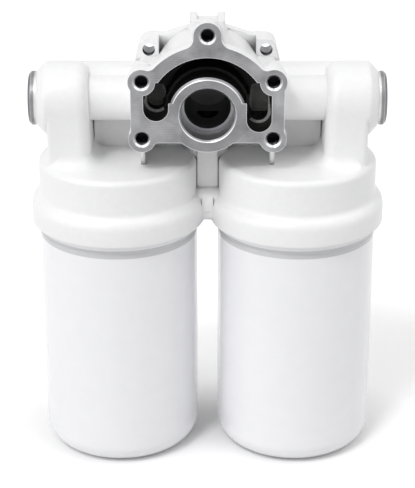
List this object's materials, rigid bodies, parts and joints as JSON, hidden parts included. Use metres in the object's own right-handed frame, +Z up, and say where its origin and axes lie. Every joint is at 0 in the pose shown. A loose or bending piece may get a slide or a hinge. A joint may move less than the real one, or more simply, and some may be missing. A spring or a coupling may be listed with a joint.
{
  "type": "twin oil filter",
  "caption": "Cast filter head with a bolted port flange, a crescent inlet chamber, end plugs and spin-on oil filter cans side by side.",
  "frame": {"origin": "on the floor under the cans, midway between the two can axes", "axes": "+Z up along the cans, X along the galleries from the left plug to the right plug, -Y out of the port flange"},
  "size_m": [0.2404, 0.1184, 0.3156],
  "materials": {
    "head_coat": "white semi-gloss coat on cast aluminium, with bare machined flange faces",
    "can_coat": "white gloss paint on deep-drawn steel",
    "plug_steel": "turned and bright",
    "seal_metal": "plain",
    "zinc_steel": "zinc plated",
    "tin_steel": "tinned sheet",
    "spring_steel": "dark oil-hardened",
    "seal_rubber": "matte black nitrile",
    "filter_paper": "resin-treated pleated paper"
  },
  "bodies": {
    "head": {"filter_head": "head_coat", "left_end_plug": "plug_steel", "left_plug_seal": "seal_metal", "left_spigot": "zinc_steel", "right_end_plug": "plug_steel", "right_plug_seal": "seal_metal", "right_spigot": "zinc_steel"},
    "left_gasket": {"left_can_gasket": "seal_rubber"},
    "left_can": {"left_can_shell": "can_coat", "left_can_lid": "can_coat", "left_base_plate": "zinc_steel", "left_drain_valve": "seal_rubber", "left_element_top_cap": "tin_steel", "left_element_media": "filter_paper", "left_centre_tube": "tin_steel", "left_element_bottom_cap": "tin_steel", "left_bypass_cage": "tin_steel", "left_bypass_spring": "spring_steel", "left_support_spring": "spring_steel"},
    "left_poppet": {"left_bypass_poppet": "zinc_steel"},
    "right_gasket": {"right_can_gasket": "seal_rubber"},
    "right_can": {"right_can_shell": "can_coat", "right_can_lid": "can_coat", "right_base_plate": "zinc_steel", "right_drain_valve": "seal_rubber", "right_element_top_cap": "tin_steel", "right_element_media": "filter_paper", "right_centre_tube": "tin_steel", "right_element_bottom_cap": "tin_steel", "right_bypass_cage": "tin_steel", "right_bypass_spring": "spring_steel", "right_support_spring": "spring_steel"},
    "right_poppet": {"right_bypass_poppet": "zinc_steel"}
  },
  "joints": [
    {"name": "left_can_lift_off", "type": "slide", "parent": "head", "child": "left_gasket", "axis": [0, 0, -1], "range_m": [0, 0.012]},
    {"name": "left_can_turn", "type": "hinge", "parent": "left_gasket", "child": "left_can", "pos_m": [-0.061, 0, 0.17], "axis": [0, 0, -1], "range_deg": [0, 2880]},
    {"name": "left_bypass_lift", "type": "slide", "parent": "left_can", "child": "left_poppet", "axis": [0, 0, 1], "range_m": [0, 0.005], "stiffness_N_per_m": 1000, "springref_m": -0.02, "deforming": ["left_bypass_spring"]},
    {"name": "right_can_lift_off", "type": "slide", "parent": "head", "child": "right_gasket", "axis": [0, 0, -1], "range_m": [0, 0.012]},
    {"name": "right_can_turn", "type": "hinge", "parent": "right_gasket", "child": "right_can", "pos_m": [0.061, 0, 0.17], "axis": [0, 0, -1], "range_deg": [0, 2880]},
    {"name": "right_bypass_lift", "type": "slide", "parent": "right_can", "child": "right_poppet", "axis": [0, 0, 1], "range_m": [0, 0.005], "stiffness_N_per_m": 1000, "springref_m": -0.02, "deforming": ["right_bypass_spring"]}
  ],
  "couplings": [
    {"joint": "left_can_lift_off", "follows": "left_can_turn", "m_per_rad": 0.00023873},
    {"joint": "right_can_lift_off", "follows": "right_can_turn", "m_per_rad": 0.00023873}
  ]
}
